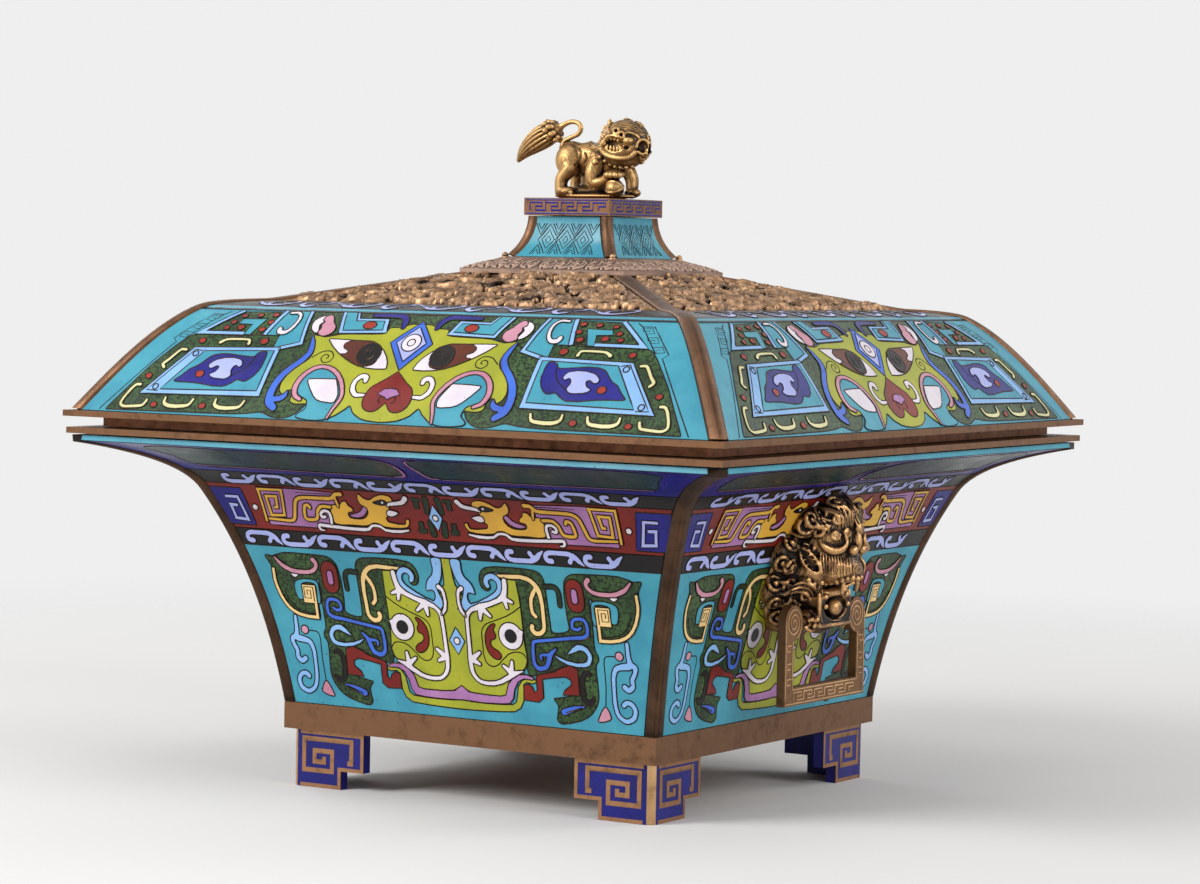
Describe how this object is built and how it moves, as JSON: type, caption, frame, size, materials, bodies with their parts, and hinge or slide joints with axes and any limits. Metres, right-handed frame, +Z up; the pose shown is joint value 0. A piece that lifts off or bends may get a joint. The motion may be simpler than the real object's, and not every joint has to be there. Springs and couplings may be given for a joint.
{
  "type": "cloisonne incense burner",
  "caption": "Square flared incense burner in gilt metal and cloisonne enamel, with bracket feet, lion-mask bail handles, a domed pierced lid and a guardian lion finial.",
  "frame": {"origin": "on the table under the middle of the body, at the feet's soles", "axes": "+Z up, +X through the right mask and bail, -Y through the front face; the plan is square"},
  "size_m": [0.3006, 0.3006, 0.2699],
  "materials": {
    "enamel": "ground cloisonne enamel, satin gloss, turquoise ground with gilt wires",
    "cobalt_enamel": "ground cobalt enamel between gilt key-fret wires",
    "gilt": "worn matt gilding",
    "cast_gilt": "chased cast gilt bronze, dark in the hollows",
    "copper": "oxidised copper"
  },
  "bodies": {
    "root": {"body_panel_front": "enamel", "body_panel_right": "enamel", "body_panel_back": "enamel", "body_panel_left": "enamel", "foot_front_right": "cobalt_enamel", "corner_strip_front_right": "gilt", "foot_back_right": "cobalt_enamel", "corner_strip_back_right": "gilt", "foot_back_left": "cobalt_enamel", "corner_strip_back_left": "gilt", "foot_front_left": "cobalt_enamel", "corner_strip_front_left": "gilt", "plinth_band": "gilt", "rim_flange": "gilt", "mask_left": "cast_gilt", "mask_right": "cast_gilt", "bottom_plate": "copper", "rim_collar": "copper", "mask_nut_left": "copper", "mask_nut_right": "copper"},
    "lid": {"lid_panel_front": "enamel", "neck_panel_front": "enamel", "grille_front": "cast_gilt", "lid_panel_right": "enamel", "neck_panel_right": "enamel", "grille_right": "cast_gilt", "lid_panel_back": "enamel", "neck_panel_back": "enamel", "grille_back": "cast_gilt", "lid_panel_left": "enamel", "neck_panel_left": "enamel", "grille_left": "cast_gilt", "ridge_strip_front_right": "gilt", "neck_strip_front_right": "gilt", "ridge_strip_back_right": "gilt", "neck_strip_back_right": "gilt", "ridge_strip_back_left": "gilt", "neck_strip_back_left": "gilt", "ridge_strip_front_left": "gilt", "neck_strip_front_left": "gilt", "lid_flange": "gilt", "top_plate": "gilt", "lid_skirt": "cast_gilt", "lion_finial": "cast_gilt", "finial_nut": "copper"},
    "bail_right": {"bail_right": "cast_gilt"},
    "bail_left": {"bail_left": "cast_gilt"}
  },
  "joints": [
    {"name": "lid_lift", "type": "slide", "parent": "root", "child": "lid", "axis": [0, 0, 1], "range_m": [0, 0.15]},
    {"name": "bail_right_swing", "type": "hinge", "parent": "root", "child": "bail_right", "pos_m": [0.10947, 0, 0.074], "axis": [0, -1, 0], "range_deg": [-25, 90]},
    {"name": "bail_left_swing", "type": "hinge", "parent": "root", "child": "bail_left", "pos_m": [-0.10947, 0, 0.074], "axis": [0, 1, 0], "range_deg": [-25, 90]}
  ]
}
